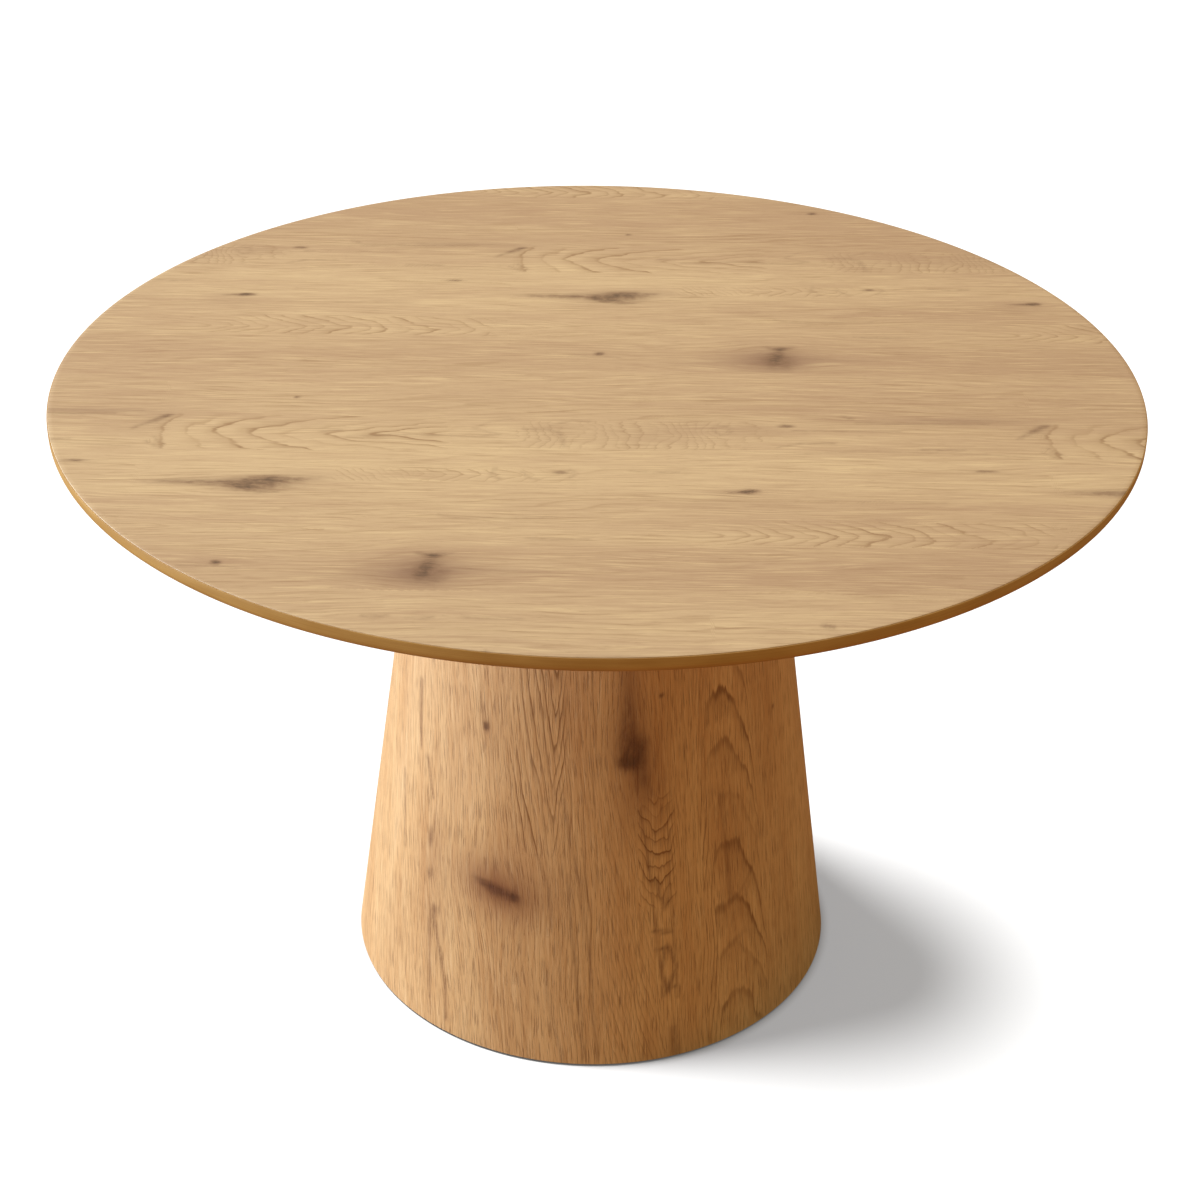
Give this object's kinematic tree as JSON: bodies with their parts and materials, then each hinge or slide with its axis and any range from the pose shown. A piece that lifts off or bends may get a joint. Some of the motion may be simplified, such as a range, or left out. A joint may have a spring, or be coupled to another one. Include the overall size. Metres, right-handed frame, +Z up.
{
  "type": "round pedestal table",
  "caption": "Round dining table: an oak-look top with a rounded lower edge on a hollow tapering drum column, bolted together and levelled by screw feet.",
  "frame": {"origin": "on the floor, at the column's axis", "axes": "+Z up; +X along the tabletop's grain; -Y towards the front; the column's decor seam is at +Y"},
  "size_m": [1.2, 1.2, 0.75],
  "materials": {
    "oak_decor_top": "matt printed oak decor, straight grain along X with knots and cathedrals",
    "oak_decor_column": "satin embossed oak decor, grain running up the column",
    "edge_band": "satin ochre edging, plain",
    "backing_sheet": "matt resin paper",
    "fibreboard": "raw medium density fibreboard",
    "softwood": "planed spruce",
    "zinc_steel": "bright zinc plated",
    "black_nylon": "fine moulded texture"
  },
  "bodies": {
    "table": {"tabletop_core": "fibreboard", "tabletop_decor_sheet": "oak_decor_top", "tabletop_edge_band": "edge_band", "tabletop_backing_sheet": "backing_sheet", "column_decor_sheet": "oak_decor_column", "column_panel_front": "fibreboard", "column_panel_back": "fibreboard", "column_top_disc": "fibreboard", "column_middle_ring": "fibreboard", "column_foot_ring": "fibreboard", "column_post_1": "softwood", "column_post_2": "softwood", "column_post_3": "softwood", "column_post_4": "softwood", "column_post_5": "softwood", "column_post_6": "softwood", "top_disc_screw_1": "zinc_steel", "top_disc_screw_2": "zinc_steel", "top_disc_screw_3": "zinc_steel", "top_disc_screw_4": "zinc_steel", "top_disc_screw_5": "zinc_steel", "top_disc_screw_6": "zinc_steel", "foot_ring_screw_1": "zinc_steel", "foot_ring_screw_2": "zinc_steel", "foot_ring_screw_3": "zinc_steel", "foot_ring_screw_4": "zinc_steel", "foot_ring_screw_5": "zinc_steel", "foot_ring_screw_6": "zinc_steel", "foot_insert_1": "zinc_steel", "foot_insert_2": "zinc_steel", "foot_insert_3": "zinc_steel", "foot_insert_4": "zinc_steel", "foot_insert_5": "zinc_steel", "foot_insert_6": "zinc_steel", "tabletop_bolt_1": "zinc_steel", "bolt_washer_1": "zinc_steel", "tabletop_insert_1": "zinc_steel", "tabletop_bolt_2": "zinc_steel", "bolt_washer_2": "zinc_steel", "tabletop_insert_2": "zinc_steel", "tabletop_bolt_3": "zinc_steel", "bolt_washer_3": "zinc_steel", "tabletop_insert_3": "zinc_steel", "tabletop_bolt_4": "zinc_steel", "bolt_washer_4": "zinc_steel", "tabletop_insert_4": "zinc_steel"},
    "levelling_pad_1": {"levelling_foot_pad_1": "black_nylon"},
    "levelling_stem_1": {"levelling_foot_stem_1": "zinc_steel"},
    "levelling_pad_2": {"levelling_foot_pad_2": "black_nylon"},
    "levelling_stem_2": {"levelling_foot_stem_2": "zinc_steel"},
    "levelling_pad_3": {"levelling_foot_pad_3": "black_nylon"},
    "levelling_stem_3": {"levelling_foot_stem_3": "zinc_steel"},
    "levelling_pad_4": {"levelling_foot_pad_4": "black_nylon"},
    "levelling_stem_4": {"levelling_foot_stem_4": "zinc_steel"},
    "levelling_pad_5": {"levelling_foot_pad_5": "black_nylon"},
    "levelling_stem_5": {"levelling_foot_stem_5": "zinc_steel"},
    "levelling_pad_6": {"levelling_foot_pad_6": "black_nylon"},
    "levelling_stem_6": {"levelling_foot_stem_6": "zinc_steel"}
  },
  "joints": [
    {"name": "foot_extend_1", "type": "slide", "parent": "table", "child": "levelling_pad_1", "axis": [0, 0, -1], "range_m": [0, 0.012]},
    {"name": "stem_turn_1", "type": "hinge", "parent": "levelling_pad_1", "child": "levelling_stem_1", "pos_m": [0.22084, 0.1275, 0], "axis": [0, 0, -1], "range_deg": [0, 3456]},
    {"name": "foot_extend_2", "type": "slide", "parent": "table", "child": "levelling_pad_2", "axis": [0, 0, -1], "range_m": [0, 0.012]},
    {"name": "stem_turn_2", "type": "hinge", "parent": "levelling_pad_2", "child": "levelling_stem_2", "pos_m": [0, 0.255, 0], "axis": [0, 0, -1], "range_deg": [0, 3456]},
    {"name": "foot_extend_3", "type": "slide", "parent": "table", "child": "levelling_pad_3", "axis": [0, 0, -1], "range_m": [0, 0.012]},
    {"name": "stem_turn_3", "type": "hinge", "parent": "levelling_pad_3", "child": "levelling_stem_3", "pos_m": [-0.22084, 0.1275, 0], "axis": [0, 0, -1], "range_deg": [0, 3456]},
    {"name": "foot_extend_4", "type": "slide", "parent": "table", "child": "levelling_pad_4", "axis": [0, 0, -1], "range_m": [0, 0.012]},
    {"name": "stem_turn_4", "type": "hinge", "parent": "levelling_pad_4", "child": "levelling_stem_4", "pos_m": [-0.22084, -0.1275, 0], "axis": [0, 0, -1], "range_deg": [0, 3456]},
    {"name": "foot_extend_5", "type": "slide", "parent": "table", "child": "levelling_pad_5", "axis": [0, 0, -1], "range_m": [0, 0.012]},
    {"name": "stem_turn_5", "type": "hinge", "parent": "levelling_pad_5", "child": "levelling_stem_5", "pos_m": [0, -0.255, 0], "axis": [0, 0, -1], "range_deg": [0, 3456]},
    {"name": "foot_extend_6", "type": "slide", "parent": "table", "child": "levelling_pad_6", "axis": [0, 0, -1], "range_m": [0, 0.012]},
    {"name": "stem_turn_6", "type": "hinge", "parent": "levelling_pad_6", "child": "levelling_stem_6", "pos_m": [0.22084, -0.1275, 0], "axis": [0, 0, -1], "range_deg": [0, 3456]}
  ],
  "couplings": [
    {"joint": "stem_turn_1", "follows": "foot_extend_1", "rad_per_m": 5026.5},
    {"joint": "stem_turn_2", "follows": "foot_extend_2", "rad_per_m": 5026.5},
    {"joint": "stem_turn_3", "follows": "foot_extend_3", "rad_per_m": 5026.5},
    {"joint": "stem_turn_4", "follows": "foot_extend_4", "rad_per_m": 5026.5},
    {"joint": "stem_turn_5", "follows": "foot_extend_5", "rad_per_m": 5026.5},
    {"joint": "stem_turn_6", "follows": "foot_extend_6", "rad_per_m": 5026.5}
  ]
}
